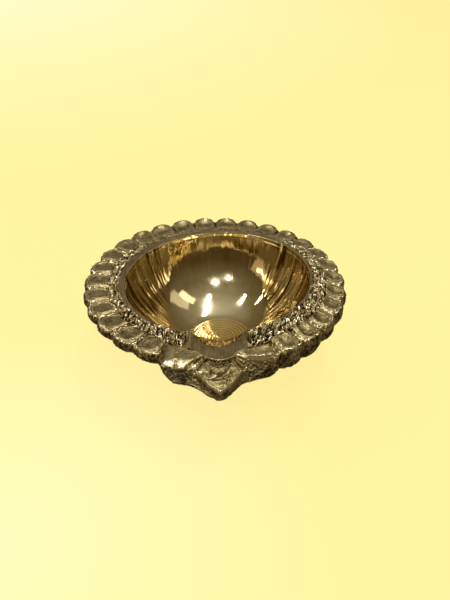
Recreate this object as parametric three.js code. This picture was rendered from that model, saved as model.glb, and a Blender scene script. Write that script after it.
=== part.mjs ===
// A cast brass diya: a hand-held oil lamp with a turned bowl, a wide ornamental rim and a pouring lip that
// carries the wick. Millimetres, +Z up. The origin is the middle of the foot's flat underside, the wick lip
// points along -Y, and the bowl's mouth is centred on the Z axis.
//
// Angles round the rim are in degrees from the wick lip (-Y), growing towards +X.
import * as THREE from 'three';

// Driving dimensions.
const MOUTH_RADIUS = 36;
const RIM_RADIUS = 50.5;
const RIM_HEIGHT = 36;
const RIM_THICKNESS = 4.8;
const BOWL_DEPTH = 29.5;
const BOWL_FLOOR_RADIUS = 13;
const FOOT_RADIUS = 14;
const GAP = 0.3;

// The bowl is cast with the rim, then turned on a lathe a little out of true: the ring of petals stands off
// centre from the mouth.
const RIM_CENTRE_X = -0.9;
const RIM_CENTRE_Y = -0.2;

// The turned mouth also leans by these slopes, and stands this far above the petals at its middle.
const MOUTH_SLOPE_X = 0.0445;
const MOUTH_SLOPE_Y = -0.0142;
const MOUTH_RISE = 0.4;

// The rim's underside slopes too, and hangs lower at the front by these depths, as [angle, depth].
const UNDERSIDE_SLOPE_X = 0.012;
const FRONT_DEPTHS = [
  [-180, 0],
  [-30, 0],
  [-24, 0.5],
  [-16, 2.2],
  [0, 2.3],
  [10, 2.8],
  [20, 3.4],
  [30, 3.3],
  [38, 2.9],
  [46, 1.6],
  [60, 0.7],
  [80, 0],
  [180, 0],
];

// Wall and lip of the bowl.
const LIP_WALL = 1.3;
const LIP_THICKNESS = 1.4;
const FLOOR_THICKNESS = 2.4;
const STRAIGHT_WALL = 1.8;
const UNDERSIDE_RADIUS = 12;
const LIP_WIDENING = 2.7;
const LIP_WIDEST_ANGLE = 215;

// Ornament: 30 places round the rim, 26 of them petals, and two rows of scales inside the petals.
const PETAL_PITCH = 12;
const PETAL_COUNT = 26;
const CUSP_DEPTH = 1.3;
const PETAL_DISH = 0.7;
const PETAL_GROOVE = 0.5;
const BAND_OUTER_RADIUS = 43.6;
const BAND_END_ANGLE = 14;
const PETAL_END_ANGLE = 24;
const SCALE_RELIEF = 0.45;

// The wick notch in the bowl's edge, and the channel that runs out of it.
const NOTCH_HALF_WIDTH = 9.5;
const NOTCH_DEPTH = 3.5;
const CHANNEL_REACH = 47;
const CHANNEL_HALF_ANGLE = 5.5;

// Outer edge of the front between the petals, as [angle, radius]. The left scroll stands further out.
const FRONT_EDGE_MIDDLE = [
  [-20.5, 53.2],
  [-16, 55.1],
  [-11, 55],
  [-8, 55.7],
  [0, 61.8],
  [7.5, 53.8],
  [12, 52.2],
  [20, 51.6],
];

// The grooves between the tip and the scrolls slant outwards, from the channel's side to the outer edge.
const GROOVE_INNER_ANGLE = 5.6;
const GROOVE_OUTER_ANGLE = 10.4;

// How far the tip and the scrolls fall below the petals at their outer edges.
const TIP_FALL = 3.6;
const SCROLL_FALL = 4.4;

const BRASS = new THREE.MeshStandardMaterial({ color: 0x7d6a42, roughness: 0.45, metalness: 1 });
const POLISHED_BRASS = new THREE.MeshStandardMaterial({ color: 0xb08a45, roughness: 0.18, metalness: 1 });

const radians = THREE.MathUtils.degToRad;
const lerp = THREE.MathUtils.lerp;
const smoothstep = THREE.MathUtils.smoothstep;

const group = new THREE.Group();
group.name = 'diya_oil_lamp';

function addPart(name, geometry, material) {
  const mesh = new THREE.Mesh(geometry, material);
  mesh.name = name;
  group.add(mesh);
}

function rimPoint(angle, radius) {
  return { x: radius * Math.sin(radians(angle)), y: -radius * Math.cos(radians(angle)) };
}

function mouthHeight(x, y) {
  return RIM_HEIGHT + MOUTH_RISE + MOUTH_SLOPE_X * x + MOUTH_SLOPE_Y * y;
}

// The lathe's facing cut leaves a flat lip, widest at the back left where the casting stood highest.
function lipRadius(angle) {
  const share = (1 + Math.cos(radians(angle - LIP_WIDEST_ANGLE))) / 2;
  return MOUTH_RADIUS + LIP_WALL + LIP_WIDENING * share ** 1.5;
}

// 1 in the middle of a petal and 0 where two petals meet.
function petalWave(angle) {
  return Math.abs(Math.sin(Math.PI * angle / PETAL_PITCH));
}

// Distance from the Z axis to the circle that the petals reach.
function ringRadius(angle) {
  const { x, y } = rimPoint(angle, 1);
  const along = x * RIM_CENTRE_X + y * RIM_CENTRE_Y;
  return along + Math.sqrt(along ** 2 - RIM_CENTRE_X ** 2 - RIM_CENTRE_Y ** 2 + RIM_RADIUS ** 2);
}

function petalEdge(angle) {
  return ringRadius(angle) - CUSP_DEPTH * (1 - petalWave(angle));
}

const frontEdgePoints = [
  [-PETAL_END_ANGLE, petalEdge(-PETAL_END_ANGLE)],
  ...FRONT_EDGE_MIDDLE,
  [PETAL_END_ANGLE, petalEdge(PETAL_END_ANGLE)],
];

// The value at an angle on the straight lines between points of [angle, value].
function between(points, angle) {
  const next = Math.max(1, points.findIndex((point) => point[0] >= angle - 1e-9));
  const [startAngle, startValue] = points[next - 1];
  const [endAngle, endValue] = points[next];
  return lerp(startValue, endValue, (angle - startAngle) / (endAngle - startAngle));
}

// The channel's outer end, a shallow tongue that pushes into the tip.
function channelEnd(angle) {
  const bulge = Math.max(0, 1 - (angle / CHANNEL_HALF_ANGLE / 1.7) ** 2);
  return lerp(BAND_OUTER_RADIUS, CHANNEL_REACH, bulge);
}

// Height of the ornament's smooth ground between the lip and the petals.
function groundHeight(x, y) {
  const share = smoothstep(Math.hypot(x, y), MOUTH_RADIUS, BAND_OUTER_RADIUS + 4);
  return lerp(mouthHeight(x, y) - 0.3, RIM_HEIGHT - PETAL_DISH, share);
}

function undersideHeight(x, y) {
  const angle = THREE.MathUtils.radToDeg(Math.atan2(x, -y));
  return RIM_HEIGHT - RIM_THICKNESS - UNDERSIDE_SLOPE_X * x - between(FRONT_DEPTHS, angle);
}

// A block with columns x rows facets, bent round the Z axis. The shape gives the angle at a share across and
// a share outwards, the radius at an angle and a share outwards, and the height of the top.
function bentBlock(columns, rows, shape) {
  const geometry = new THREE.BoxGeometry(1, 1, 1, columns, rows, 1);
  const position = geometry.attributes.position;
  for (let i = 0; i < position.count; i += 1) {
    const across = 0.5 - position.getX(i);
    const outwards = 0.5 + position.getY(i);
    const angle = shape.angle(across, outwards);
    const radius = shape.radius(angle, outwards);
    const { x, y } = rimPoint(angle, radius);
    const isTop = position.getZ(i) > 0;
    position.setXYZ(i, x, y, isTop ? shape.top(x, y, angle, outwards) : undersideHeight(x, y));
  }
  geometry.computeVertexNormals();
  return geometry;
}

// Points of a spherical wall, from its top edge down to the edge of its flat floor.
function sphereWall(topRadius, topFall, floorRadius, floorFall, steps) {
  const squares = topRadius ** 2 - floorRadius ** 2 + topFall ** 2 - floorFall ** 2;
  const centreRise = squares / (2 * (floorFall - topFall));
  const radius = Math.hypot(topRadius, topFall + centreRise);
  const startTurn = Math.asin((topFall + centreRise) / radius);
  const endTurn = Math.asin((floorFall + centreRise) / radius);
  const points = [];
  for (let i = 0; i <= steps; i += 1) {
    const turn = lerp(startTurn, endTurn, i / steps);
    points.push(new THREE.Vector2(radius * Math.cos(turn), centreRise - radius * Math.sin(turn)));
  }
  return points;
}

// Bowl: cast shell with a turned inside, a flat lip and the wick notch. The first points of its profile are
// the cast outside, and the rest are turned.
const SHELL_DEPTH = BOWL_DEPTH + FLOOR_THICKNESS;
const castProfile = [
  new THREE.Vector2(0, -SHELL_DEPTH),
  ...sphereWall(MOUTH_RADIUS + LIP_WALL, LIP_THICKNESS + 0.1, UNDERSIDE_RADIUS, SHELL_DEPTH, 10).reverse(),
];
const turnedProfile = [
  new THREE.Vector2(MOUTH_RADIUS + LIP_WALL, -LIP_THICKNESS),
  new THREE.Vector2(MOUTH_RADIUS + LIP_WALL, 0),
  new THREE.Vector2(MOUTH_RADIUS, 0),
  ...sphereWall(MOUTH_RADIUS, STRAIGHT_WALL, BOWL_FLOOR_RADIUS, BOWL_DEPTH, 10),
  new THREE.Vector2(0, -BOWL_DEPTH),
];

function notchFall(x, y) {
  if (y > 0) {
    return 0;
  }
  const share = Math.min(1, Math.abs(x) / NOTCH_HALF_WIDTH);
  return NOTCH_DEPTH * Math.cos(share * Math.PI / 2) ** 0.8;
}

function bowlGeometry() {
  const profile = [...castProfile, ...turnedProfile];
  const geometry = new THREE.LatheGeometry(profile, 80);
  geometry.rotateX(Math.PI / 2);
  const position = geometry.attributes.position;
  for (let i = 0; i < position.count; i += 1) {
    const isTurned = i % profile.length >= castProfile.length;
    let x = position.getX(i);
    let y = position.getY(i);
    let z = position.getZ(i);
    const radius = Math.hypot(x, y);
    if (isTurned && radius > MOUTH_RADIUS + LIP_WALL / 2) {
      const angle = THREE.MathUtils.radToDeg(Math.atan2(x, -y));
      x *= lipRadius(angle) / radius;
      y *= lipRadius(angle) / radius;
    }
    z -= notchFall(x, y) * smoothstep(z, -8, 0) * smoothstep(radius, BOWL_FLOOR_RADIUS, MOUTH_RADIUS - 4);
    if (isTurned) {
      const tilted = tiltWithMouth(x, y, z);
      position.setXYZ(i, tilted.x, tilted.y, tilted.z);
    } else {
      position.setXYZ(i, x, y, z + RIM_HEIGHT + MOUTH_RISE);
    }
  }
  geometry.computeVertexNormals();
  return geometry;
}

function tiltWithMouth(x, y, z) {
  const up = new THREE.Vector3(-MOUTH_SLOPE_X, -MOUTH_SLOPE_Y, 1).normalize();
  const turn = new THREE.Quaternion().setFromUnitVectors(new THREE.Vector3(0, 0, 1), up);
  const point = new THREE.Vector3(x, y, z).applyQuaternion(turn);
  point.z += RIM_HEIGHT + MOUTH_RISE;
  return point;
}

// Foot: a low turned disc with a waist, flat underneath.
function footGeometry() {
  const top = RIM_HEIGHT + MOUTH_RISE - SHELL_DEPTH - GAP;
  const points = [
    [0, 0],
    [FOOT_RADIUS - 0.6, 0],
    [FOOT_RADIUS, 0.6],
    [FOOT_RADIUS, 1.8],
    [FOOT_RADIUS - 1.4, 2.8],
    [FOOT_RADIUS - 1.8, top - 0.6],
    [FOOT_RADIUS - 2.4, top],
    [0, top],
  ];
  const geometry = new THREE.LatheGeometry(points.map(([r, z]) => new THREE.Vector2(r, z)), 40);
  geometry.rotateX(Math.PI / 2);
  geometry.computeVertexNormals();
  return geometry;
}

// Scale band: two rows of small scales between the lip and the petals, open at the wick lip.
function scaleBandGeometry() {
  const sweep = 360 - 2 * BAND_END_ANGLE;
  const columns = Math.round(sweep / 3);
  return bentBlock(columns, 4, {
    angle: (across) => BAND_END_ANGLE + sweep * across,
    radius: (angle, outwards) => lerp(lipRadius(angle) + GAP, BAND_OUTER_RADIUS - GAP / 2, outwards),
    top: (x, y, angle, outwards) => {
      const column = Math.round((angle - BAND_END_ANGLE) / 3);
      const isScale = (column + (outwards > 0.5 ? 1 : 0)) % 2 === 0;
      const isRow = outwards > 0.1 && outwards < 0.9 && Math.abs(outwards - 0.5) > 0.1;
      return groundHeight(x, y) + (isRow && isScale ? SCALE_RELIEF : -0.2);
    },
  });
}

// Petal rim: 26 dished petals side by side in one ring, open at the front.
function petalRimGeometry() {
  const sweep = 360 - 2 * PETAL_END_ANGLE;
  return bentBlock(PETAL_COUNT * 5, 3, {
    angle: (across) => PETAL_END_ANGLE + sweep * across,
    radius: (angle, outwards) => lerp(BAND_OUTER_RADIUS + GAP / 2, petalEdge(angle), outwards),
    top: (x, y, angle, outwards) => {
      const edge = smoothstep(outwards, 0.5, 1) * PETAL_DISH;
      return groundHeight(x, y) + edge - PETAL_GROOVE * (1 - petalWave(angle));
    },
  });
}

// Wick plate: the plain metal in front of the notch, hollowed into a shallow channel.
function spoutPlateGeometry() {
  const half = BAND_END_ANGLE - 0.5;
  return bentBlock(12, 4, {
    angle: (across) => lerp(-half, half, across),
    radius: (angle, outwards) => lerp(lipRadius(angle) + GAP, channelEnd(angle) - GAP / 2, outwards),
    top: (x, y, angle, outwards) => {
      const hollow = lerp(notchFall(x, y), 1.6 * notchFall(x, y) / NOTCH_DEPTH, outwards);
      return groundHeight(x, y) - hollow;
    },
  });
}

// Angle of a slanting groove at a share outwards, left for side -1 and right for side 1.
function grooveAngle(side, outwards) {
  return side * lerp(GROOVE_INNER_ANGLE, GROOVE_OUTER_ANGLE, outwards);
}

function frontPiece(columns, startAngle, endAngle, fall) {
  return bentBlock(columns, 6, {
    angle: (across, outwards) => lerp(startAngle(outwards), endAngle(outwards), across),
    radius: (angle, outwards) => lerp(channelEnd(angle) + GAP / 2, between(frontEdgePoints, angle), outwards),
    top: (x, y, angle, outwards) => groundHeight(x, y) - 0.3 - fall(angle) * outwards ** 2,
  });
}

// Half of the joint gap, as an angle at the rim.
const GAP_ANGLE = THREE.MathUtils.radToDeg(GAP / 2 / BAND_OUTER_RADIUS);

function scrollGeometry(side) {
  const outerSide = () => side * (PETAL_END_ANGLE - 2 * GAP_ANGLE);
  const innerSide = (outwards) => grooveAngle(side, outwards) + side * GAP_ANGLE * 1.5;
  const start = side < 0 ? outerSide : innerSide;
  const end = side < 0 ? innerSide : outerSide;
  return frontPiece(8, start, end, () => SCROLL_FALL);
}

function tipLeafGeometry() {
  const start = (outwards) => grooveAngle(-1, outwards) + GAP_ANGLE * 1.5;
  const end = (outwards) => grooveAngle(1, outwards) - GAP_ANGLE * 1.5;
  const fall = (angle) => lerp(TIP_FALL, SCROLL_FALL, Math.min(1, Math.abs(angle) / GROOVE_OUTER_ANGLE));
  return frontPiece(10, start, end, fall);
}

addPart('bowl', bowlGeometry(), POLISHED_BRASS);
addPart('foot', footGeometry(), BRASS);
addPart('scale_band', scaleBandGeometry(), BRASS);
addPart('petal_rim', petalRimGeometry(), BRASS);
addPart('spout_plate', spoutPlateGeometry(), BRASS);
addPart('left_scroll', scrollGeometry(-1), BRASS);
addPart('right_scroll', scrollGeometry(1), BRASS);
addPart('tip_leaf', tipLeafGeometry(), BRASS);

export default group;
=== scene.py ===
"""Looks of a cast brass diya oil lamp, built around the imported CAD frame. Shapes are in millimetres.

Angles round the rim are in degrees from the wick lip (-Y), growing towards +X. "Share out" runs from 0 at a
piece's inner edge to 1 at its outer edge.
"""
import math

import bpy
import numpy as np
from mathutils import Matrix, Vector


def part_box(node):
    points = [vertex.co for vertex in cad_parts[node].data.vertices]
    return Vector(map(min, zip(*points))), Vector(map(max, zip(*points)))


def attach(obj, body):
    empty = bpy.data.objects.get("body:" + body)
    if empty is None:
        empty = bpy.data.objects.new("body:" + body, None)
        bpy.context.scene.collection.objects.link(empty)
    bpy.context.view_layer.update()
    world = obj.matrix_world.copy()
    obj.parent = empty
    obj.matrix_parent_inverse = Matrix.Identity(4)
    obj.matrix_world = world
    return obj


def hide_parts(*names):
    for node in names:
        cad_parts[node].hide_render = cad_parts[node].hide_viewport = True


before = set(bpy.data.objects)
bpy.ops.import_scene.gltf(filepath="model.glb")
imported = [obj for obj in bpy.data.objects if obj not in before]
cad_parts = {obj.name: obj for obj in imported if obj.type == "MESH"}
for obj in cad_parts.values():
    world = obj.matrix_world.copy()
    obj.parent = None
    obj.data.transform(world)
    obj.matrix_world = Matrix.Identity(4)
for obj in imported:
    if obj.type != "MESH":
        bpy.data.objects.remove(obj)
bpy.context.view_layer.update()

MM = 0.001

# The lamp's driving dimensions, in millimetres and degrees.
MOUTH_RADIUS = 36.0
MOUTH_SLOPE_X = 0.0445
MOUTH_SLOPE_Y = -0.0142
MOUTH_RISE = 0.4
BOWL_DEPTH = 29.5
BOWL_FLOOR_RADIUS = 13.0
UNDERSIDE_RADIUS = 12.0
FLOOR_THICKNESS = 2.4
RIM_RADIUS = 50.5
RIM_CENTRE_X = -0.9
RIM_CENTRE_Y = -0.2
RIM_HEIGHT = 36.0
RIM_THICKNESS = 4.8
UNDERSIDE_SLOPE_X = 0.012
THICKENING_ANGLES = (-30.0, -24.0, -16.0, 0.0, 10.0, 20.0, 30.0, 38.0, 46.0, 60.0, 80.0)
THICKENINGS = (0.0, 0.5, 2.2, 2.3, 2.8, 3.4, 3.3, 2.9, 1.6, 0.7, 0.0)
LIP_MIN_WIDTH = 0.6
LIP_WIDENING = 2.5
LIP_WIDEST_ANGLE = 215.0
NOTCH_HALF_WIDTH = 9.5
NOTCH_DEPTH = 3.5
CHAMFER_WIDTH = 1.5
CHANNEL_REACH = 47.0
CHANNEL_HALF_ANGLE = 5.5
BAND_OUTER_RADIUS = 43.6
SCALE_PITCH = 6.0
SCALE_ROWS = (36.9, 39.7)
BEAD_SIZE = 1.55
PETAL_PITCH = 12.0
PETAL_END_ANGLE = 24.0
PETAL_INNER_RADIUS = 42.4
PETAL_SHOULDER = 0.9
PETAL_DISH = 0.7
CUSP_DEPTH = 1.5
GROOVE_INNER_ANGLE = 5.6
GROOVE_OUTER_ANGLE = 10.4
FRONT_EDGE_ANGLES = (-24.0, -20.5, -16.0, -11.0, -8.0, 0.0, 7.5, 12.0, 20.0, 24.0)
FRONT_EDGE_RADII = (49.8, 53.2, 55.1, 55.0, 55.7, 61.8, 53.8, 52.2, 51.6, 49.2)

# Finish of the surfaces: waves and rings in the turned bowl, rough skin on the cast walls, in millimetres. The
# rings' wave turns by FLOOR_RING_TURN radians per millimetre.
WAVE_DEPTH = 0.09
BROAD_WAVE_DEPTH = 0.05
FLOOR_TURN = 1.1
FLOOR_RING_DEPTH = 0.03
FLOOR_RING_TURN = 4.2
WALL_GRAIN = 0.24
SHOULDER_DEPTH = 0.3
MIN_WALL = 0.8

# Rows of points round the section of a piece of the rim, and columns along the long pieces.
WALL_ROWS = 24
BASE_ROWS = 8
INNER_ROWS = 4
RING_COLUMNS = 1700

# Stage, in metres, degrees and watts. The azimuth grows from the wick lip (-Y) towards +X.
CAMERA_AZIMUTH = -1.0
CAMERA_ELEVATION = 32.9
CAMERA_DISTANCE = 0.252
CAMERA_LENS = 38.9
CAMERA_SHIFT = (0.0132, -0.0373)
FLOOR_GLOW = 0.96
CEILING_HEIGHT = 0.8
PANEL_DISTANCE = 0.9
LAMP_DISTANCE = 0.8
TUBE_WHITE = (1.0, 0.98, 0.95)
WARM = (1.0, 0.86, 0.6)
GOLDEN = (1.0, 0.80, 0.48)

# Ceiling tubes: the place of each end across and towards the back as shares of the height, width and power.
TUBES = (
    ("tube_over", (0.15, -0.36), (0.21, 0.34), 0.034, 2.3),
    ("tube_left", (-0.50, -0.03), (-0.75, -0.24), 0.045, 1.2),
    ("tube_far_left", (-0.96, 0.20), (-2.0, 0.06), 0.045, 2.2),
)

# Softboxes: azimuth, elevation, distance, width, height, power and colour.
SOFTBOXES = (
    ("right_window", 77, 53, LAMP_DISTANCE, 0.13, 0.28, 0.14, (1.0, 0.97, 0.93)),
    ("right_window_pane", 92, 46, LAMP_DISTANCE, 0.22, 0.34, 0.12, (1.0, 0.95, 0.87)),
    ("low_right", 80, 17, PANEL_DISTANCE, 0.34, 0.07, 0.15, WARM),
    ("left_shelf", -84, 17, PANEL_DISTANCE, 1.0, 0.3, 0.31, GOLDEN),
    ("right_shelf", 88, 11, PANEL_DISTANCE, 0.8, 0.16, 0.16, GOLDEN),
    ("low_left", -76, 19, PANEL_DISTANCE, 0.4, 0.07, 0.26, WARM),
    ("front_lamp_a", 2, 52, LAMP_DISTANCE, 0.024, 0.024, 0.9, (1.0, 1.0, 1.0)),
    ("front_lamp_b", -24, 45, LAMP_DISTANCE, 0.02, 0.02, 0.8, (1.0, 1.0, 1.0)),
    ("back_panel", 178, 23, PANEL_DISTANCE, 1.6, 0.34, 1.2, (1.0, 0.97, 0.92)),
)

FOOT_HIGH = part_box("foot")[1]
FOOT_RADIUS = FOOT_HIGH.x / MM
FOOT_TOP = FOOT_HIGH.z / MM


# ---------------------------------------------------------------- small maths

def lerp(a, b, share):
    return a + (b - a) * share


def smoothstep(low, high, value):
    """0 up to low, 1 from high, smooth between. Falls instead of rising where low is above high."""
    share = np.clip((value - low) / (high - low), 0.0, 1.0)
    return share * share * (3 - 2 * share)


def bump(value, centre, width):
    return np.exp(-(((value - centre) / width) ** 2))


def rim_xy(angle, radius):
    turn = np.radians(angle)
    return radius * np.sin(turn), -radius * np.cos(turn)


def front_distance(angle):
    """Degrees round the rim from the wick lip, the same on both sides."""
    wrapped = np.mod(angle + 180.0, 360.0) - 180.0
    return np.abs(wrapped)


def hashed(ix, iy, iz, seed):
    """A repeatable random number from 0 to 1 at each whole-number point."""
    mix = (ix.astype(np.int64) * 73856093) ^ (iy.astype(np.int64) * 19349663)
    mix = mix ^ (iz.astype(np.int64) * 83492791) ^ (seed * 2654435761)
    mix = (mix ^ (mix >> 13)) * 1274126177
    mix = mix ^ (mix >> 16)
    return (mix & 0xFFFFFF) / float(0xFFFFFF)


def noise(x, y, z, size, seed):
    """Smooth value noise from -1 to 1, with blobs about `size` millimetres across."""
    px, py, pz = x / size, y / size, z / size
    ix, iy, iz = np.floor(px), np.floor(py), np.floor(pz)
    sx, sy, sz = (smoothstep(0.0, 1.0, p - i) for p, i in ((px, ix), (py, iy), (pz, iz)))
    total = np.zeros_like(px)
    for dx in (0, 1):
        for dy in (0, 1):
            for dz in (0, 1):
                weight = np.where(dx, sx, 1 - sx) * np.where(dy, sy, 1 - sy) * np.where(dz, sz, 1 - sz)
                total = total + weight * hashed(ix + dx, iy + dy, iz + dz, seed)
    return total * 2 - 1


def grain(points, seed):
    """Sand-cast skin: three sizes of noise together, about -1 to 1."""
    x, y, z = points[..., 0], points[..., 1], points[..., 2]
    coarse = noise(x, y, z, 2.4, seed)
    medium = noise(x, y, z, 1.1, seed + 1)
    fine = noise(x, y, z, 0.55, seed + 2)
    return 0.45 * coarse + 0.35 * medium + 0.2 * fine


# ---------------------------------------------------------------- heights of the ornament

def mouth_height(x, y):
    return RIM_HEIGHT + MOUTH_RISE + MOUTH_SLOPE_X * x + MOUTH_SLOPE_Y * y


def ground_height(x, y):
    """The smooth ground of the ornament, between the lip and the petals."""
    share = smoothstep(MOUTH_RADIUS, BAND_OUTER_RADIUS + 4, np.hypot(x, y))
    return lerp(mouth_height(x, y) - 0.1, RIM_HEIGHT - PETAL_DISH, share)


def underside_height(x, y):
    angle = np.degrees(np.arctan2(x, -y))
    thickening = np.interp(angle, THICKENING_ANGLES, THICKENINGS)
    return RIM_HEIGHT - RIM_THICKNESS - UNDERSIDE_SLOPE_X * x - thickening


def notch_fall(x, y):
    """How far the wick notch dips below the mouth."""
    share = np.minimum(1.0, np.abs(x) / NOTCH_HALF_WIDTH)
    return np.where(y < 0, NOTCH_DEPTH * np.cos(share * math.pi / 2) ** 0.8, 0.0)


def lip_radius(angle):
    """Outer edge of the facing cut, widest at the back left, and of the ragged chamfer at the notch."""
    share = (1 + np.cos(np.radians(angle - LIP_WIDEST_ANGLE))) / 2
    x, y = rim_xy(angle, MOUTH_RADIUS)
    chamfer = CHAMFER_WIDTH * (notch_fall(x, y) / NOTCH_DEPTH) ** 0.5
    ragged = 1 + 0.16 * noise(x, y, np.zeros_like(x), 0.9, 61)
    return MOUTH_RADIUS + LIP_MIN_WIDTH + LIP_WIDENING * share ** 1.5 + chamfer * ragged


def ring_radius(angle):
    """Distance from the Z axis to the circle that the petals reach."""
    x, y = rim_xy(angle, 1.0)
    along = x * RIM_CENTRE_X + y * RIM_CENTRE_Y
    return along + np.sqrt(along ** 2 - RIM_CENTRE_X ** 2 - RIM_CENTRE_Y ** 2 + RIM_RADIUS ** 2)


def petal_edge(angle):
    wave = np.abs(np.sin(math.pi * angle / PETAL_PITCH)) ** 0.75
    return ring_radius(angle) - CUSP_DEPTH * (1 - wave)


def petal_shoulder(angle):
    """How far a petal's top stops short of its outermost edge, less at the back."""
    return PETAL_SHOULDER - 0.5 * smoothstep(90, 140, front_distance(angle))


def band_end(side, share_out):
    """The scale band's rounded end, in degrees from the wick lip."""
    middle = 15.2 if side < 0 else 13.3
    return side * (middle + 2.0 * (2 * share_out - 1) ** 2)


def band_edge(angle):
    """Outer edge of the scale band. It stops short where the petals begin."""
    return np.where(front_distance(angle) > PETAL_END_ANGLE, PETAL_INNER_RADIUS, BAND_OUTER_RADIUS)


def petal_inner(angle):
    return PETAL_INNER_RADIUS + 0 * angle


def no_shoulder(angle):
    return 0 * angle


def groove(side):
    """Angle of the slanting groove beside the tip, left for side -1 and right for side 1."""
    return lambda share_out: side * lerp(GROOVE_INNER_ANGLE, GROOVE_OUTER_ANGLE, share_out)


def petal_end(side):
    return lambda share_out: side * PETAL_END_ANGLE + 0 * share_out


def front_line(angle):
    """Outline of the scrolls and the tip, with sharp corners."""
    return np.interp(angle, FRONT_EDGE_ANGLES, FRONT_EDGE_RADII)


def front_edge(angle):
    """The same outline with its corners rounded by an average over a few degrees."""
    steps = (-1.2, -0.6, 0.0, 0.6, 1.2)
    return sum(front_line(angle + step) for step in steps) / len(steps)


def channel_end(angle):
    bulge = np.maximum(0.0, 1 - (angle / CHANNEL_HALF_ANGLE / 1.7) ** 2)
    return lerp(BAND_OUTER_RADIUS, CHANNEL_REACH, bulge)


def beads(along, across, seed):
    """Beads packed side by side: the distance to the nearest one's middle, and that bead's random number."""
    column, row = np.floor(along), np.floor(across)
    nearest = np.full(along.shape, 9.0)
    own = np.zeros(along.shape)
    for step_along in (-1, 0, 1):
        for step_across in (-1, 0, 1):
            c, r = column + step_along, row + step_across
            to_along = along - c - 0.25 - 0.5 * hashed(c, r, r, seed)
            to_across = across - r - 0.3 - 0.4 * hashed(c, r, c, seed + 1)
            distance = np.hypot(to_along, to_across)
            own = np.where(distance < nearest, hashed(c, r, c + r, seed + 2), own)
            nearest = np.minimum(nearest, distance)
    return nearest, own


# The functions below shape the tops of the pieces. Each gives the height over the ground, the wear that
# brightens the patina, with painted highlights on some edges and tops, and the share of the cast walls' rough
# skin.

def scale_relief(x, y, angle, radius):
    """Rough beads in two leaning rows of scales, worn smooth at the back."""
    distance = front_distance(angle)
    flat = np.zeros_like(x)
    right = angle < 180
    bend = 0.3 * noise(x, y, flat, 2.2, 85)
    across = (radius - SCALE_ROWS[0]) / BEAD_SIZE + bend
    lean = np.where(right, 0.95, 0.45) * across
    along = np.radians(distance) * 40.5 / BEAD_SIZE + lean + bend + 40 * right
    nearest, own = beads(along, across, 17)
    pits = noise(x, y, flat, 0.72, 86)
    specks = noise(x, y, flat, 0.4, 87)
    bead = 0.75 - 1.2 * smoothstep(0.34, 0.72, nearest) + 0.8 * (own - 0.5)
    total = bead - 0.35 + 0.42 * pits + 0.2 * specks
    for row, inner in enumerate(SCALE_ROWS):
        uneven = 0.1 * noise(x, y, flat, 1.9, 81)
        place = (distance + (radius - inner) * 0.8 + 2.0 * row) / SCALE_PITCH + uneven
        share = place - np.floor(place)
        total = total - 0.6 * bump(share, 0.03, 0.07) - 0.25 * bump(radius, inner, 0.2)
    fade = 1 - 0.78 * smoothstep(100, 145, distance)
    end_cell = smoothstep(2.4, 1.2, distance - np.where(angle > 180, 15.0, 13.2))
    total = lerp(total * fade, -0.75, 0.7 * end_cell)
    worn_and_painted_light = own ** 1.5 * smoothstep(0.65, 0.3, nearest) + 0.35 * pits + 0.15 * specks
    wear_and_painted_light = 0.28 + 0.8 * worn_and_painted_light * (1 - end_cell) * fade
    return total, wear_and_painted_light + 0.12 * (1 - fade), flat


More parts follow.
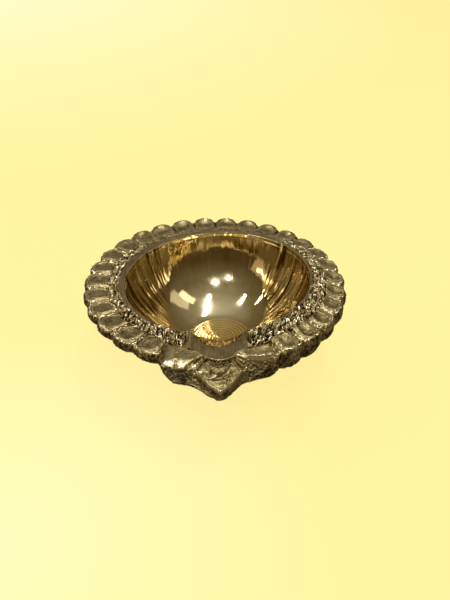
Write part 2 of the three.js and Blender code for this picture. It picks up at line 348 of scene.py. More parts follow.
def petal_relief(x, y, angle, radius):
    """Dished petals side by side with a rough bar between each two, turning to smooth domes at the back."""
    place = angle / PETAL_PITCH
    index = np.floor(place)
    offset = (place - index - 0.5) * PETAL_PITCH
    reach = ring_radius(angle) - petal_shoulder(angle)
    length = reach - PETAL_INNER_RADIUS
    inward = reach - radius
    knob = smoothstep(105, 150, front_distance(angle))
    right = smoothstep(100, 80, np.abs(angle - 60))
    which = hashed(index, index, index, 3)
    sideways = np.radians(offset) * radius
    to_middle = np.radians(PETAL_PITCH / 2 - np.abs(offset)) * radius
    bar_half = lerp(0.7, 0.24, smoothstep(0.6, 4.5, inward))
    half_width = np.radians(PETAL_PITCH / 2) * radius - bar_half - 0.15
    end = np.maximum(3.2 - inward, 0) / 3.3
    body = ((np.abs(sideways) / half_width) ** 2.5 + end ** 2.5) ** 0.4
    inside = 1 - smoothstep(0.93, 1.04, body)
    dish_width = lerp(2.7, 2.1, right)
    dish_reach = lerp(0.42, 0.5, right) * length
    dish_at = np.hypot((sideways + 0.3 * right) / dish_width, (inward - 0.58 * length) / dish_reach)
    dish = -(0.3 + 0.25 * which + 0.2 * right) * np.clip(1 - dish_at ** 2, 0, 1)
    ring = 0.16 * bump(dish_at, 1.14, 0.1) - 0.2 * bump(dish_at, 1.0, 0.07)
    roll = 0.3 * smoothstep(0.7, 1.0, body)
    plain = 0.35 + dish + ring - roll
    dome = 0.3 + 1.5 * np.cos(np.clip(sideways / half_width, -1, 1) * math.pi / 2) ** 1.1
    dome = dome * (0.1 + 0.9 * bump(inward, 2.2, 1.9)) - 0.1
    plate = lerp(plain, dome, knob)
    lean = np.where(offset < 0, right, 0.0) * (1 - knob)
    pits = noise(x, y, 0 * x, 0.9, 93)
    bar = 0.25 - 0.3 * bump(to_middle, 0.0, 0.16) + 0.5 * pits * (1 - knob)
    bar = (bar - 0.3 * smoothstep(1.2, 0.3, inward)) * (1 - knob) - 0.55 * knob
    side_line = -0.95 * bump(to_middle, bar_half + 0.18, 0.22) * (1 - 0.4 * lean) * (1 - knob)
    relief = lerp(bar, plate, inside) + side_line
    # The glint is a small real bump at the right petals' bar ends, and also a painted glint added to their
    # colour.
    glint = bump(np.abs(angle - 80), 0.0, 30) * bump(inward, 0.9, 0.9) * bump(to_middle, 0.5, 0.45)
    cusp = 0.45 * glint - (0.7 + 0.5 * knob) * smoothstep(1.9, 0.2, inward) * bump(to_middle, 0.0, 0.9)
    # The bars' wear, with a painted highlight brightening their outer ends.
    bar_wear_and_glint = 0.7 - 0.3 * knob + 0.45 * pits + 0.2 * smoothstep(2.0, 0.6, inward)
    rim = 0.3 * bump(inward, 0.15, 0.45)
    wear_and_painted_light = lerp(bar_wear_and_glint, 0.47 + 0.1 * smoothstep(0.9, 1.3, dish_at) + rim - 0.05 * knob, inside)
    # A painted glint on the top of each back dome.
    painted_dome_glint = knob * bump(sideways, 0.0, 1.6) * bump(inward, 2.6, 1.2)
    return relief + cusp, wear_and_painted_light + 0.6 * glint + 0.4 * painted_dome_glint, (1 - inside) * 0.3


def from_line(x, f, line):
    """Distance of each point from a straight line between two points."""
    x0, f0, x1, f1 = line
    run = np.hypot(x1 - x0, f1 - f0)
    along = np.clip(((x - x0) * (x1 - x0) + (f - f0) * (f1 - f0)) / run ** 2, 0.0, 1.0)
    return np.hypot(x - lerp(x0, x1, along), f - lerp(f0, f1, along))


# Carved lines of the front: (x, distance forwards) of both ends, half width and height, in millimetres.
TIP_LINES = (
    ((-4.4, 46.6, -8.4, 52.8), 0.45, -1.0),
    ((-4.7, 50.0, -2.8, 52.3), 0.4, 0.55),
    ((-2.8, 52.3, -0.4, 53.4), 0.4, 0.6),
    ((-0.4, 53.4, 1.6, 52.4), 0.4, 0.6),
    ((1.6, 52.4, 3.2, 49.6), 0.4, 0.5),
    ((-6.6, 53.4, -3.4, 53.0), 0.6, -0.8),
    ((-6.2, 54.6, -2.0, 55.6), 0.35, 0.55),
    ((-2.0, 55.6, 1.2, 55.0), 0.35, 0.55),
    ((1.2, 55.0, 4.6, 54.6), 0.35, 0.45),
    ((-0.6, 54.2, 3.0, 53.6), 0.4, -0.6),
    ((4.0, 51.8, 2.2, 56.6), 0.4, -0.45),
    ((-3.6, 57.0, 0.0, 59.0), 0.6, -0.6),
    ((1.6, 57.0, 2.6, 56.0), 0.35, 0.4),
    ((3.4, 47.1, 6.7, 52.0), 0.28, 0.6),
    ((4.3, 46.6, 7.6, 51.4), 0.45, -0.9),
)
LEFT_LINES = (
    ((-4.9, 46.0, -10.6, 50.2), 0.5, -1.15),
    ((-5.2, 47.2, -9.0, 52.2), 0.35, 0.6),
    ((-14.2, 48.2, -14.5, 50.6), 0.5, -0.4),
)
RIGHT_LINES = (
    ((5.2, 45.4, 8.8, 47.4), 0.4, -0.7),
    ((6.2, 47.4, 8.6, 48.9), 0.4, 0.5),
    ((8.4, 50.0, 9.0, 52.4), 0.4, 0.5),
    ((17.6, 44.6, 19.4, 50.2), 0.5, -1.0),
    ((16.9, 44.6, 18.3, 49.6), 0.35, 0.3),
)


def carve(x, f, lines):
    total = np.zeros_like(x)
    for line, width, height in lines:
        total = total + height * bump(from_line(x, f, line), 0.0, width)
    return total


def tip_top(x, y, angle, radius):
    """The pointed leaf: a hatched crescent under the channel, carved leaves, and a raised outer edge."""
    f = -y
    lean = 0.85 + 1.2 * np.clip(-angle / 8, 0, 1)
    from_edge = front_line(angle) - radius - lean
    from_channel = radius - channel_end(angle)
    pits = noise(x, f, 0 * x, 0.62, 95)
    hatch = 0.35 * np.sin(x * 5.6 + f) * np.sin(f * 3.9 - x) + 0.3 * pits
    near_channel = smoothstep(4.2, 3.4, from_channel + 0.35 * np.abs(x + 0.4))
    crescent = smoothstep(0.1, 0.5, from_channel) * near_channel
    ridge = (0.85 - 0.25 * smoothstep(0, 4, angle) + 0.2 * pits) * bump(from_edge, 0.35, 0.42)
    wall = smoothstep(0.1, -0.35, from_edge) * 1.2 + 1.9 * smoothstep(0.0, -1.9, from_edge)
    base = -0.9 - 2.4 * smoothstep(46.5, 62.0, f)
    relief = base - wall + ridge + 1.25 * carve(x, f, TIP_LINES) + crescent * (hatch - 0.6)
    dark = smoothstep(0.1, -0.4, from_edge)
    # Brightening along the raised outer edge is a painted highlight, along with its wear.
    wear_and_painted_light = 0.56 + 0.5 * bump(from_edge, 0.35, 0.4) - 0.08 * dark - 0.14 * crescent + 0.1 * pits
    return relief, wear_and_painted_light, 0.05 + 0.95 * dark


def left_top(x, y, angle, radius):
    """The left scroll: a short flat top, a rounded shoulder and a swelling dark wall."""
    f = -y
    past = f - 46.8 - 0.08 * (x + 18)
    round_share = np.clip(past / 3.8, 0, 0.9)
    shoulder = 3.1 * (1 - np.sqrt(1 - round_share ** 2)) + 1.5 * np.maximum(past - 3.42, 0)
    left_end = 1.5 * smoothstep(-17.6, -20.0, x)
    inner_end = 0.5 * smoothstep(1.0, 0.0, radius - channel_end(angle)) * smoothstep(-11.5, -9.5, x)
    dents = noise(x, f, 0 * x, 2.0, 96)
    pits = noise(x, f, 0 * x, 0.8, 98)
    dark = smoothstep(2.6, 3.5, past) * smoothstep(-19.4, -18.4, x)
    carved = carve(x, f, LEFT_LINES)
    lean = 0.09 * (x + 18) * round_share
    lumps = (dents * 0.16 + pits * 0.1) * round_share
    relief = -0.1 - shoulder - lean - left_end - inner_end + carved + lumps
    # Two painted highlights on the shoulder, brightening the wear.
    painted_highlight_patches = (0.8 + 0.5 * pits) * bump(past, 2.0, 0.9) * (1 - 0.8 * bump(x, -14.3, 0.7))
    wear_and_painted_light = 0.52 + 0.5 * painted_highlight_patches - 0.16 * dark + 0.1 * dents + 0.3 * smoothstep(-18.6, -19.4, x)
    return relief, wear_and_painted_light, 0.1 + 0.9 * dark


def right_top(x, y, angle, radius):
    """The right scroll: a flat plateau with a beaded sharp edge, and a steep dark wall."""
    f = -y
    past = f - 47.6 + 0.035 * (x - 11.5) ** 2
    fall = 1.3 * smoothstep(0.0, 0.6, past) + 1.5 * np.maximum(past - 0.4, 0)
    pits = noise(x, f, 0 * x, 0.8, 97)
    bead = (0.3 + 0.5 * pits) * bump(past, -0.1, 0.55) * smoothstep(6.5, 8.5, x)
    right_end = 1.3 * smoothstep(17.2, 18.4, x + 0.12 * (f - 45.0) ** 2 * (f < 45.0))
    dark = smoothstep(0.3, 1.0, past)
    inner_end = 0.9 * smoothstep(1.6, 0.0, radius - channel_end(angle)) ** 2
    swell = 0.25 * noise(x, f, 0 * x, 3.4, 99)
    relief = 0.6 - fall - right_end - inner_end + bead + swell + carve(x, f, RIGHT_LINES)
    # Brightening along the beaded front edge is a painted highlight, along with its wear.
    wear_and_painted_light = 0.55 + 0.5 * bump(past, 0.0, 0.8) - 0.14 * dark
    return relief, wear_and_painted_light, dark


# ---------------------------------------------------------------- meshes

def link(name, vertices, faces, materials, material_of_face=None):
    mesh = bpy.data.meshes.new(name)
    mesh.from_pydata((np.asarray(vertices) * MM).tolist(), [], faces)
    mesh.validate()
    mesh.polygons.foreach_set("use_smooth", [True] * len(mesh.polygons))
    obj = bpy.data.objects.new(name, mesh)
    bpy.context.scene.collection.objects.link(obj)
    for material in materials:
        mesh.materials.append(material)
    if material_of_face is not None:
        mesh.polygons.foreach_set("material_index", material_of_face)
    return obj


def store(obj, name, values):
    attribute = obj.data.attributes.new(name, "FLOAT", "POINT")
    attribute.data.foreach_set("value", np.asarray(values, np.float32).ravel())


def grid_normals(points):
    """Unit normals of a grid of points. On a rim piece they point inwards."""
    along = np.gradient(points, axis=0)
    across = np.gradient(points, axis=1)
    normal = np.cross(along, across)
    length = np.linalg.norm(normal, axis=-1, keepdims=True)
    return normal / np.maximum(length, 1e-9)


def grid_faces(columns, rows, wrap_columns, wrap_rows):
    a = np.arange(columns if wrap_columns else columns - 1)[:, None]
    b = np.arange(rows if wrap_rows else rows - 1)[None, :]
    a_next = (a + 1) % columns
    b_next = (b + 1) % rows
    quads = np.stack([a * rows + b, a_next * rows + b, a_next * rows + b_next, a * rows + b_next], -1)
    return quads.reshape(-1, 4)


def blurred(heights, steps):
    """Heights averaged with their neighbours again and again, to tell hollows from crests."""
    for _ in range(steps):
        wide = np.pad(heights, 1, mode="edge")
        around = wide[:-2, 1:-1] + wide[2:, 1:-1] + wide[1:-1, :-2] + wide[1:-1, 2:]
        heights = (around + 4 * heights) / 8
    return heights


def rim_section(rows):
    """The share out and the depth round a section: a loop of top, outer wall, underside and inner wall."""
    top_share = 1 - (1 - np.linspace(0, 1, rows)) ** 1.15
    wall_depth = np.linspace(0, 1, WALL_ROWS + 2)[1:-1]
    base_share = np.linspace(1, 0, BASE_ROWS)
    inner_depth = 1 - np.linspace(0, 1, INNER_ROWS + 2)[1:-1]
    share_out = np.concatenate([top_share, np.ones(WALL_ROWS), base_share, np.zeros(INNER_ROWS)])
    depth = np.concatenate([np.zeros(rows), wall_depth, np.ones(BASE_ROWS), inner_depth])
    return share_out, depth


def rim_patina_and_painted_light(points, depth, relief, wear_and_painted_light, skin, crumbs):
    """Bright on the crests and dark in the hollows of the top, patchy on the walls. The dark in the hollows is
    patina together with painted crevice shade; the bright on the crests is wear.
    """
    x, y, z = points[..., 0], points[..., 1], points[..., 2]
    # Darkening below the local average height is painted crevice shade along with patina; brightening the
    # crests is wear.
    crest = relief - blurred(relief, 12)
    on_top = wear_and_painted_light + 0.95 * np.clip(crest, -0.45, 0.35) + 0.16 * skin
    on_wall = 0.42 + 0.3 * skin + 0.34 * crumbs + 0.1 * noise(x, y, z, 5.0, 31)
    return np.clip(np.where(depth > 0, on_wall, on_top), 0, 1)


def rim_piece(name, node, side_angles, inner, outer, top, columns, rows, grain_depth, material, shoulder):
    """A closed piece of the rim between two side angles and two edges, with a top and an underside."""
    share_out, depth = rim_section(rows)
    count = len(depth)
    share_out = np.broadcast_to(share_out[None, :], (columns, count))
    depth = np.broadcast_to(depth[None, :], (columns, count))
    start, end = side_angles(share_out)
    angle = lerp(start, end, np.linspace(0, 1, columns)[:, None])
    inset = 1 - np.sqrt(1 - np.clip(1 - depth / SHOULDER_DEPTH, 0, 1) ** 2)
    edge = outer(angle) - shoulder(angle) * inset - 0.5 * smoothstep(0.75, 1.0, depth)
    radius = lerp(inner(angle), edge, share_out)
    x, y = rim_xy(angle, radius)
    relief, wear_and_painted_light, rough_share = top(x, y, angle, radius)
    under = underside_height(x, y)
    upper = np.maximum(ground_height(x, y) + relief, under + MIN_WALL)
    smooth = np.stack([x, y, lerp(upper, under, depth)], -1)
    is_wall = (depth > 0) & (share_out >= 0.999)
    rough = np.where(is_wall, WALL_GRAIN, lerp(grain_depth, WALL_GRAIN, rough_share))
    rough[[0, -1], :] = 0
    skin = grain(smooth, 11)
    crumbs = noise(x, y, smooth[..., 2], 0.6, 33)
    points = smooth - grid_normals(smooth) * (rough * (skin + 0.7 * crumbs))[..., None]
    base_first = rows + WALL_ROWS
    base_last = base_first + BASE_ROWS - 1
    faces = grid_faces(columns, count, False, True)[:, ::-1].tolist()
    faces.extend(end_cap(0, share_out[0], base_first, base_last, True))
    faces.extend(end_cap((columns - 1) * count, share_out[0], base_first, base_last, False))
    obj = link(name, points.reshape(-1, 3), faces, [material])
    store(obj, "patina_and_painted_light", rim_patina_and_painted_light(smooth, depth, relief, wear_and_painted_light, skin, crumbs))
    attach(obj, "root")
    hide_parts(node)


def end_cap(first, share_out, base_first, base_last, reverse):
    """Triangles that close the end of a rim piece, between its underside and the rest of its section."""
    count = len(share_out)
    upper = [base_last, *range(base_last + 1, count), *range(base_first + 1)]
    lower = list(range(base_last, base_first - 1, -1))
    faces = []
    step = 0
    for here, there in zip(upper, upper[1:]):
        if lower[step] not in (here, there):
            faces.append([here, there, lower[step]])
        while step + 1 < len(lower) and share_out[there] >= (step + 1) / (len(lower) - 1) - 1e-6:
            if there != lower[step + 1]:
                faces.append([there, lower[step + 1], lower[step]])
            step += 1
    return [[first + corner for corner in (face[::-1] if reverse else face)] for face in faces]


def revolved_piece(name, node, sections, materials, material_of_row):
    """A closed piece of revolution from sections[column, row], with its first and last rows on the axis."""
    columns, rows = sections.shape[:2]
    body = sections[:, 1:-1]
    vertices = np.concatenate([body.reshape(-1, 3), sections[:1, 0], sections[:1, -1]])
    quads = grid_faces(columns, rows - 2, True, False)
    faces = quads.tolist()
    material_index = np.tile(material_of_row[1:-2], columns).tolist()
    low, high = len(vertices) - 2, len(vertices) - 1
    for column in range(columns):
        follow = (column + 1) % columns
        faces.append([low, follow * (rows - 2), column * (rows - 2)])
        material_index.append(int(material_of_row[0]))
        faces.append([high, column * (rows - 2) + rows - 3, follow * (rows - 2) + rows - 3])
        material_index.append(int(material_of_row[-2]))
    obj = link(name, vertices, faces, materials, material_index)
    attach(obj, "root")
    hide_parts(node)
    return obj


# ---------------------------------------------------------------- materials

def new_material(name, metallic=1.0):
    material = bpy.data.materials.new(name)
    material.use_nodes = True
    tree = material.node_tree
    shader = tree.nodes["Principled BSDF"]
    shader.inputs["Metallic"].default_value = metallic
    return material, tree, shader


def add(tree, kind, **settings):
    node = tree.nodes.new(kind)
    for key, value in settings.items():
        setattr(node, key, value)
    return node


def math_node(tree, operation, first, second=None, clamp=False):
    node = add(tree, "ShaderNodeMath", operation=operation, use_clamp=clamp)
    for socket, value in zip(node.inputs, (first, second)):
        if value is None:
            continue
        if isinstance(value, (int, float)):
            socket.default_value = value
        else:
            tree.links.new(value, socket)
    return node.outputs[0]


def object_position(tree):
    return add(tree, "ShaderNodeTexCoord").outputs["Object"]


def separated(tree, vector):
    node = add(tree, "ShaderNodeSeparateXYZ")
    tree.links.new(vector, node.inputs[0])
    return node.outputs


def combined(tree, x, y, z):
    node = add(tree, "ShaderNodeCombineXYZ")
    for socket, value in zip(node.inputs, (x, y, z)):
        if value is not None:
            tree.links.new(value, socket)
    return node.outputs[0]


def stretched(tree, vector, scale):
    node = add(tree, "ShaderNodeMapping")
    tree.links.new(vector, node.inputs["Vector"])
    node.inputs["Scale"].default_value = scale
    return node.outputs[0]


def noise_node(tree, vector, scale, detail=3.0, roughness=0.55):
    node = add(tree, "ShaderNodeTexNoise")
    tree.links.new(vector, node.inputs["Vector"])
    node.inputs["Scale"].default_value = scale
    node.inputs["Detail"].default_value = detail
    node.inputs["Roughness"].default_value = roughness
    return node.outputs["Fac"]


def ramp(tree, factor, stops):
    node = add(tree, "ShaderNodeValToRGB")
    elements = node.color_ramp.elements
    while len(elements) < len(stops):
        elements.new(0.5)
    for element, (place, colour) in zip(elements, stops):
        element.position = place
        element.color = (*colour, 1)
    tree.links.new(factor, node.inputs["Fac"])
    return node.outputs["Color"]


def map_range(tree, value, low, high, to_low, to_high):
    node = add(tree, "ShaderNodeMapRange")
    tree.links.new(value, node.inputs["Value"])
    for name, number in (("From Min", low), ("From Max", high), ("To Min", to_low), ("To Max", to_high)):
        node.inputs[name].default_value = number
    return node.outputs["Result"]


def bump_node(tree, height, distance, strength, shader, base=None):
    node = add(tree, "ShaderNodeBump")
    node.inputs["Strength"].default_value = strength
    node.inputs["Distance"].default_value = distance
    tree.links.new(height, node.inputs["Height"])
    if base is not None:
        tree.links.new(base, node.inputs["Normal"])
    tree.links.new(node.outputs["Normal"], shader.inputs["Normal"])
    return node.outputs["Normal"]


def mix_colours(tree, factor, first, second):
    node = add(tree, "ShaderNodeMix", data_type="RGBA")
    for name, source in (("Factor", factor), ("A", first), ("B", second)):
        tree.links.new(source, node.inputs[name])
    return node.outputs["Result"]


def attribute(tree, name):
    return add(tree, "ShaderNodeAttribute", attribute_name=name).outputs["Fac"]


def cast_brass():
    """Aged sand-cast brass: dark in the hollows from patina and painted crevice shade, dull olive on the
    ground, bright on the worn crests and at painted highlights.
    """
    material, tree, shader = new_material("cast_brass")
    place = object_position(tree)
    # The attribute holds patina and wear, with painted crevice shade and painted highlights on the rim pieces.
    patina_and_painted_light = attribute(tree, "patina_and_painted_light")
    blotch = noise_node(tree, place, 260.0, 4.0)
    speck = noise_node(tree, place, 1500.0, 3.0)
    worn_and_painted_light = patina_and_painted_light
    for pattern, strength in ((blotch, 0.35), (speck, 0.5)):
        centred = math_node(tree, "SUBTRACT", pattern, 0.5)
        worn_and_painted_light = math_node(tree, "ADD", worn_and_painted_light, math_node(tree, "MULTIPLY", centred, strength))
    colour = ramp(tree, worn_and_painted_light, (
        (0.1, (0.022, 0.015, 0.006)),
        (0.32, (0.11, 0.08, 0.034)),
        (0.54, (0.33, 0.257, 0.115)),
        (0.76, (0.62, 0.50, 0.26)),
        (0.95, (0.93, 0.82, 0.55)),
    ))
    tree.links.new(colour, shader.inputs["Base Color"])
    tree.links.new(map_range(tree, worn_and_painted_light, 0.3, 0.9, 0.55, 0.24), shader.inputs["Roughness"])
    bump_node(tree, speck, 0.0002, 0.6, shader)
    return material


def filed_brass():
    """Brass filed flat: fine parallel lines, satin, stained. Torn and golden in the notch's chamfer."""
    material, tree, shader = new_material("filed_brass")
    place = object_position(tree)
    lines = noise_node(tree, stretched(tree, place, (1.0, 0.06, 0.3)), 2600.0, 3.0)
    blotch = noise_node(tree, place, 180.0, 4.0)
    halves = [math_node(tree, "MULTIPLY", pattern, 0.5) for pattern in (lines, blotch)]
    tone = math_node(tree, "ADD", *halves)
    satin = ramp(tree, tone, (
        (0.3, (0.12, 0.085, 0.035)),
        (0.5, (0.25, 0.185, 0.08)),
        (0.7, (0.42, 0.33, 0.16)),
    ))
    torn = noise_node(tree, stretched(tree, place, (1.0, 0.5, 0.5)), 2000.0, 3.0, 0.6)
    cut = ramp(tree, torn, (
        (0.38, (0.04, 0.02, 0.004)),
        (0.52, (0.17, 0.095, 0.022)),
        (0.68, (0.62, 0.42, 0.13)),
    ))
    colour = mix_colours(tree, attribute(tree, "chamfer"), satin, cut)
    tree.links.new(colour, shader.inputs["Base Color"])
    tree.links.new(map_range(tree, blotch, 0.3, 0.7, 0.42, 0.55), shader.inputs["Roughness"])
    bump_node(tree, lines, 0.00006, 0.6, shader)
    return material


def polished_brass():
    """Polished inside of the bowl: a hazy mirror with lathe rings, and upright streaks at its sides. The
    streaks are shallow bumps, and also dark and bright bands painted into the colour as painted reflections.
    """
    material, tree, shader = new_material("polished_brass")
    place = object_position(tree)
    x, y, z = separated(tree, place)
    squares = [math_node(tree, "MULTIPLY", value, value) for value in (x, y)]
    radius = math_node(tree, "SQRT", math_node(tree, "ADD", *squares))
    safe = math_node(tree, "MAXIMUM", radius, 0.0005)
    round_x, round_y = (math_node(tree, "DIVIDE", value, safe) for value in (x, y))
    around = combined(tree, round_x, round_y, math_node(tree, "MULTIPLY", z, 3.4))
    streaks = noise_node(tree, around, 14.0, 2.5, 0.55)
    lathe = noise_node(tree, combined(tree, radius, None, z), 2200.0, 2.0)
    haze = noise_node(tree, place, 90.0, 4.0)
    at_sides = map_range(tree, math_node(tree, "ABSOLUTE", x), 0.0195, 0.0265, 0.0, 1.0)
    high_up = map_range(tree, z, 0.010, 0.030, 0.0, 0.16)
    strength = math_node(tree, "MAXIMUM", at_sides, high_up)
    marks = math_node(tree, "MULTIPLY", streaks, strength)
    # Dark and bright streaks painted into the colour at the sides: painted reflections.
    painted_reflection_streaks = math_node(tree, "MULTIPLY", math_node(tree, "SUBTRACT", streaks, 0.5), strength)
    shades = (math_node(tree, "MULTIPLY", haze, 0.5), math_node(tree, "MULTIPLY", painted_reflection_streaks, 2.8))
    tone = math_node(tree, "ADD", *shades)
    colour = ramp(tree, tone, (
        (0.0, (0.26, 0.155, 0.035)),
        (0.15, (0.80, 0.62, 0.28)),
        (0.26, (0.90, 0.74, 0.41)),
        (0.5, (1.0, 0.88, 0.55)),
    ))
    tree.links.new(colour, shader.inputs["Base Color"])
    tree.links.new(map_range(tree, haze, 0.4, 0.65, 0.03, 0.13), shader.inputs["Roughness"])
    first = bump_node(tree, marks, 0.0013, 0.7, shader)
    bump_node(tree, lathe, 0.00001, 0.5, shader, first)
    return material


def pale_patch(tree, place, centre, reach):
    """1 at a centre on the floor, fading to 0 at its reach, in metres."""
    away = add(tree, "ShaderNodeVectorMath", operation="DISTANCE")
    tree.links.new(place, away.inputs[0])
    away.inputs[1].default_value = centre
    return map_range(tree, away.outputs["Value"], reach, 0.0, 0.0, 1.0)


def floor_material():
    """Pale yellow paper that glows a little, so that the lamp's shadow on it stays faint. The glow is brighter
    in two pale patches, one far back on the left and one beside the lamp: painted pools of light.
    """
    material, tree, shader = new_material("pale_floor", 0.0)
    place = object_position(tree)
    far = pale_patch(tree, place, (-0.36, 0.78, 0.0), 0.65)
    near = pale_patch(tree, place, (-0.07, -0.09, 0.0), 0.11)
    pale = math_node(tree, "ADD", far, math_node(tree, "MULTIPLY", near, 0.6), clamp=True)
    paper = ramp(tree, pale, ((0.0, (0.13, 0.115, 0.045)), (1.0, (0.13, 0.12, 0.07))))
    glow = ramp(tree, pale, ((0.0, (1.0, 0.855, 0.335)), (1.0, (1.0, 0.97, 0.60))))
    tree.links.new(paper, shader.inputs["Base Color"])
    tree.links.new(glow, shader.inputs["Emission Color"])
    shader.inputs["Emission Strength"].default_value = FLOOR_GLOW
    shader.inputs["Roughness"].default_value = 0.9
    shader.inputs["Specular IOR Level"].default_value = 0.0
    return material


CAST = cast_brass()
FILED = filed_brass()
POLISHED = polished_brass()


# ---------------------------------------------------------------- the pieces

def tilt_with_mouth(points):
    """Turns points of the upright bowl so that its mouth leans as the lathe left it."""
    up = Vector((-MOUTH_SLOPE_X, -MOUTH_SLOPE_Y, 1)).normalized()
    turn = np.array(Vector((0, 0, 1)).rotation_difference(up).to_matrix())
    return points @ turn.T


def sphere_wall(top_radius, top_fall, floor_radius, floor_fall, rows):
    """Radius and height along a spherical wall, from its top edge down to the edge of its flat floor."""
    squares = top_radius ** 2 - floor_radius ** 2 + top_fall ** 2 - floor_fall ** 2
    centre_rise = squares / (2 * (floor_fall - top_fall))
    radius = np.hypot(top_radius, top_fall + centre_rise)
    start = np.arcsin((top_fall + centre_rise) / radius)
    end = np.arcsin((floor_fall + centre_rise) / radius)
    turn = lerp(start, end, np.linspace(0, 1, rows)[None, :])
    return radius * np.cos(turn), centre_rise - radius * np.sin(turn)


def soft_floor(height):
    """Keeps heights above the bowl's flat floor, with a soft turn where the wall meets it."""
    above = height + BOWL_DEPTH
    return (above + np.sqrt(above ** 2 + FLOOR_TURN ** 2)) / 2 - BOWL_DEPTH


def turned_wobble(angle, radius, z):
    """Shallow upright waves that the polisher left in the wall, and broader unevenness."""
    round_x, round_y = rim_xy(angle, 20.0)
    waves = noise(round_x + 0 * z, round_y + 0 * z, z * 0.12, 1.1, 51)
    waves = waves * WAVE_DEPTH * smoothstep(27, 33, radius)
    x, y = rim_xy(angle, radius)
    broad = noise(x, y, z, 8.0, 52) * BROAD_WAVE_DEPTH
    return (waves + broad) * smoothstep(BOWL_FLOOR_RADIUS, BOWL_FLOOR_RADIUS + 8, radius)


def bowl_section(angle):
    """The upright bowl's section at each angle, from the middle underneath to the middle of its floor.

    Gives radii, heights, and the number of rows in the flat base, in all the cast skin, and before the polish.
    """
    ones = np.ones_like(angle)
    lip = lip_radius(angle)
    wall = np.minimum(lip, MOUTH_RADIUS + 1.3)
    base_r = np.linspace(0, UNDERSIDE_RADIUS - 0.4, 8)[None, :] * ones
    base_z = np.full_like(base_r, -BOWL_DEPTH - FLOOR_THICKNESS)
    outer_r, outer_z = sphere_wall(wall, 1.5, UNDERSIDE_RADIUS, BOWL_DEPTH + FLOOR_THICKNESS, 44)
    outer_r, outer_z = outer_r[:, ::-1], outer_z[:, ::-1]
    edge_r = lerp(wall, lip, np.array([0.5, 1.0, 1.0, 1.0, 0.98])[None, :])
    edge_z = np.array([-1.3, -1.3, -0.7, -0.15, -0.02])[None, :] * ones
    top_r = lerp(MOUTH_RADIUS + 0.2, lip, np.linspace(0.96, 0.0, 14)[None, :])
    top_z = np.zeros_like(top_r)
    band_r = (MOUTH_RADIUS - np.array([-0.08, 0.0, 0.03, 0.06, 0.09, 0.12, 0.16, 0.3])[None, :]) * ones
    band_z = -np.array([0.04, 0.12, 0.3, 0.7, 1.1, 1.5, 1.7, 1.8])[None, :] * ones
    inner_r, inner_z = sphere_wall(MOUTH_RADIUS - 0.32, 1.9, BOWL_FLOOR_RADIUS, BOWL_DEPTH, 110)
    rings_r = np.linspace(BOWL_FLOOR_RADIUS, 0, 90)[None, 1:]
    rings = FLOOR_RING_DEPTH * np.sin(rings_r * FLOOR_RING_TURN) * smoothstep(0.0, 2.0, rings_r)
    rings_z = soft_floor(inner_z[:, -1:] - (BOWL_FLOOR_RADIUS - rings_r) * 0.38) - rings
    inner_z = soft_floor(inner_z)
    inner_r, inner_z, rings_r, rings_z = (part * ones for part in (inner_r, inner_z, rings_r, rings_z))
    radius = np.concatenate([base_r, outer_r, edge_r, top_r, band_r, inner_r, rings_r], 1)
    z = np.concatenate([base_z, outer_z, edge_z, top_z, band_z, inner_z, rings_z], 1)
    cast_rows = base_r.shape[1] + outer_r.shape[1]
    unpolished_rows = cast_rows + edge_r.shape[1] + top_r.shape[1]
    return radius, z, base_r.shape[1], cast_rows, unpolished_rows


def make_bowl():
    angle = np.linspace(0, 360, 640, endpoint=False)[:, None]
    radius, z, base_rows, cast_rows, unpolished_rows = bowl_section(angle)
    row = np.arange(radius.shape[1])[None, :]
    is_cast = row < cast_rows
    is_polished = row >= unpolished_rows
    wobble = np.where(is_polished, turned_wobble(angle, radius, z), 0.0)
    radius = radius + wobble * radius / MOUTH_RADIUS
    z = z + wobble * np.abs(z) / MOUTH_RADIUS
    x, y = rim_xy(angle, radius)
    beyond = smoothstep(MOUTH_RADIUS + 0.1, MOUTH_RADIUS + 0.7 + CHAMFER_WIDTH, radius)
    dip = notch_fall(x, y) * smoothstep(-8, 0, z) * smoothstep(BOWL_FLOOR_RADIUS, MOUTH_RADIUS - 4, radius)
    z = z - dip * (1 + 0.3 * beyond)
    points = np.stack([x, y, z], -1)
    points = np.where(is_cast[..., None], points, tilt_with_mouth(points))
    skin = grain(points, 21)
    is_outside = is_cast & (row > base_rows)
    inset = 1 - np.where(is_outside, 0.14 * (1 + skin), 0.0) / MOUTH_RADIUS
    points = points * inset[..., None]
    points[..., 2] += RIM_HEIGHT + MOUTH_RISE
    in_notch = np.where(is_cast | is_polished, 0.0, smoothstep(0.5, 1.6, dip))
    material_of_row = np.where(is_cast[0], 0, np.where(is_polished[0], 2, 1))
    obj = revolved_piece("bowl_turned", "bowl", points, [CAST, FILED, POLISHED], material_of_row)
    patina_and_painted_light = 0.36 + 0.25 * skin[:, 1:-1]
    store(obj, "patina_and_painted_light", np.clip(np.append(patina_and_painted_light.ravel(), [0.3, 0.3]), 0, 1))
    store(obj, "chamfer", np.append(in_notch[:, 1:-1].ravel(), [0.0, 0.0]))


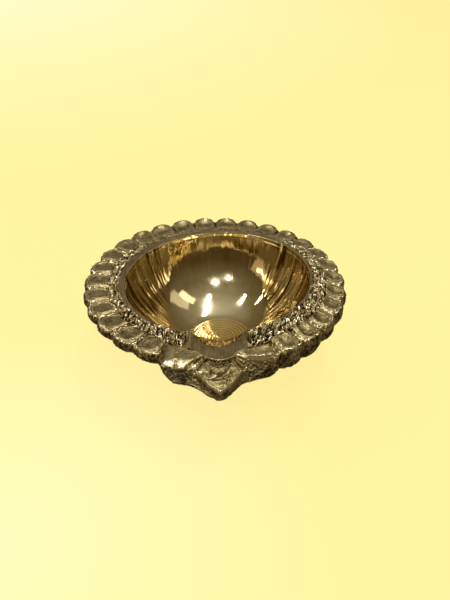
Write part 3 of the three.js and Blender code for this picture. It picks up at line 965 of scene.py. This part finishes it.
def make_foot():
    rows = 76
    angle = np.linspace(0, 360, 240, endpoint=False)[:, None]
    half = FOOT_RADIUS * 0.5
    waist = FOOT_RADIUS - 1.8
    profile = [
        (0.0, 0.0), (1.5, 0.05), (1.8, 0.0), (half, 0.0), (half + 0.3, 0.12), (half + 0.6, 0.0),
        (FOOT_RADIUS - 0.8, 0.0), (FOOT_RADIUS - 0.35, 0.12),
        (FOOT_RADIUS - 0.05, 0.5), (FOOT_RADIUS, 0.9), (FOOT_RADIUS - 0.02, 1.5), (FOOT_RADIUS - 0.25, 1.95),
        (FOOT_RADIUS - 0.8, 2.4), (FOOT_RADIUS - 1.4, 2.9), (waist, 3.5), (waist, 4.0),
        (waist + 0.15, FOOT_TOP - 0.35), (waist, FOOT_TOP - 0.05), (half, FOOT_TOP), (0.0, FOOT_TOP),
    ]
    fine = np.linspace(0, len(profile) - 1, rows)
    whole = np.arange(len(profile))
    radius = np.interp(fine, whole, [p[0] for p in profile])[None, :] * np.ones_like(angle)
    z = np.interp(fine, whole, [p[1] for p in profile])[None, :] * np.ones_like(angle)
    x, y = rim_xy(angle, radius)
    points = np.stack([x, y, z], -1)
    skin = grain(points, 41)
    side = smoothstep(0.3, 1.0, z) * (1 - smoothstep(FOOT_TOP - 0.5, FOOT_TOP, z))
    shrink = 1 - 0.12 * (1 + skin) * side / FOOT_RADIUS
    points[..., 0] *= shrink
    points[..., 1] *= shrink
    obj = revolved_piece("foot_turned", "foot", points, [CAST], np.zeros(rows, int))
    patina_and_painted_light = 0.38 + 0.25 * skin[:, 1:-1]
    store(obj, "patina_and_painted_light", np.clip(np.concatenate([patina_and_painted_light.ravel(), [0.5, 0.3]]), 0, 1))


def make_scale_band():
    def sides(share_out):
        return band_end(1, share_out), 360 + band_end(-1, share_out)

    rim_piece("scale_band_cast", "scale_band", sides, lip_radius, band_edge, scale_relief, RING_COLUMNS, 52,
              0.07, CAST, no_shoulder)


def make_petal_rim():
    def sides(share_out):
        return petal_end(1)(share_out), 360 + petal_end(-1)(share_out)

    rim_piece("petal_rim_cast", "petal_rim", sides, petal_inner, petal_edge, petal_relief, RING_COLUMNS, 50,
              0.12, CAST, petal_shoulder)


def plate_top(x, y, angle, radius):
    """The plate in front of the notch, hollowed into a shallow channel for the wick."""
    share = np.clip((radius - lip_radius(angle)) / 8.6, 0, 1)
    relief = -lerp(1.2, 0.25, share) * notch_fall(x, y)
    return relief, 0.6 + 0 * relief, 0 * relief


def make_spout_plate():
    def sides(share_out):
        return band_end(-1, share_out), band_end(1, share_out)

    rim_piece("spout_plate_filed", "spout_plate", sides, lip_radius, channel_end, plate_top, 260, 90, 0.03,
              FILED, no_shoulder)


def front_piece(name, node, start, end, top, columns):
    def sides(share_out):
        return start(share_out), end(share_out)

    rim_piece(name, node, sides, channel_end, front_edge, top, columns, 120, 0.06, CAST, no_shoulder)


def make_front():
    front_piece("left_scroll_cast", "left_scroll", petal_end(-1), groove(-1), left_top, 260)
    front_piece("right_scroll_cast", "right_scroll", groove(1), petal_end(1), right_top, 260)
    front_piece("tip_leaf_cast", "tip_leaf", groove(-1), groove(1), tip_top, 320)


# ---------------------------------------------------------------- stage, lights and camera

def make_floor():
    bpy.ops.mesh.primitive_plane_add(size=8.0, location=(0, 0, -0.0002))
    floor = bpy.context.active_object
    floor.name = "floor"
    floor.data.materials.append(floor_material())
    floor.visible_glossy = False
    floor.visible_diffuse = False


def direction(azimuth, elevation):
    turn, rise = math.radians(azimuth), math.radians(elevation)
    return Vector((math.sin(turn) * math.cos(rise), -math.cos(turn) * math.cos(rise), math.sin(rise)))


def stand_out(obj, out, distance):
    """Places a light or the camera out from the middle of the mouth, looking back at it."""
    obj.location = out * distance + Vector((0, 0, RIM_HEIGHT * MM))
    obj.rotation_mode = "QUATERNION"
    obj.rotation_quaternion = (-out).to_track_quat("-Z", "Y")


def area_light(name, width, height, power, colour):
    data = bpy.data.lights.new(name, "AREA")
    data.energy = power
    data.color = colour
    data.shape = "RECTANGLE"
    data.size = width
    data.size_y = height
    light = bpy.data.objects.new(name, data)
    bpy.context.scene.collection.objects.link(light)
    return light


def make_lights():
    for name, start, end, width, power in TUBES:
        first = Vector((*start, 1)) * CEILING_HEIGHT
        last = Vector((*end, 1)) * CEILING_HEIGHT
        light = area_light(name, (last - first).length, width, power, TUBE_WHITE)
        light.location = (first + last) / 2 + Vector((0, 0, RIM_HEIGHT * MM))
        light.rotation_euler = (0, 0, math.atan2(last.y - first.y, last.x - first.x))
    for name, azimuth, elevation, distance, width, height, power, colour in SOFTBOXES:
        light = area_light(name, width, height, power, colour)
        stand_out(light, direction(azimuth, elevation), distance)


def make_world():
    """A dim brown surround, darkest from the horizon to a little above it, and lightest overhead."""
    world = bpy.data.worlds.new("studio")
    world.use_nodes = True
    tree = world.node_tree
    way = add(tree, "ShaderNodeTexCoord").outputs["Generated"]
    height = map_range(tree, separated(tree, way)[2], -1.0, 1.0, 0.0, 1.0)
    tone = ramp(tree, height, (
        (0.42, (0.22, 0.18, 0.11)),
        (0.5, (0.065, 0.043, 0.018)),
        (0.68, (0.075, 0.051, 0.021)),
        (0.86, (0.17, 0.145, 0.10)),
        (0.95, (0.27, 0.25, 0.21)),
        (1.0, (0.46, 0.45, 0.42)),
    ))
    tree.links.new(tone, tree.nodes["Background"].inputs["Color"])
    bpy.context.scene.world = world


def make_camera():
    data = bpy.data.cameras.new("camera")
    data.lens = CAMERA_LENS
    data.sensor_width = 36.0
    data.sensor_fit = "AUTO"
    data.clip_start = 0.01
    data.clip_end = 50.0
    data.shift_x, data.shift_y = CAMERA_SHIFT
    camera = bpy.data.objects.new("camera", data)
    bpy.context.scene.collection.objects.link(camera)
    stand_out(camera, direction(CAMERA_AZIMUTH, CAMERA_ELEVATION), CAMERA_DISTANCE)
    bpy.context.scene.camera = camera


make_bowl()
make_foot()
make_scale_band()
make_petal_rim()
make_spout_plate()
make_front()
make_floor()
make_lights()
make_world()
make_camera()
bpy.context.scene.view_settings.view_transform = "Standard"
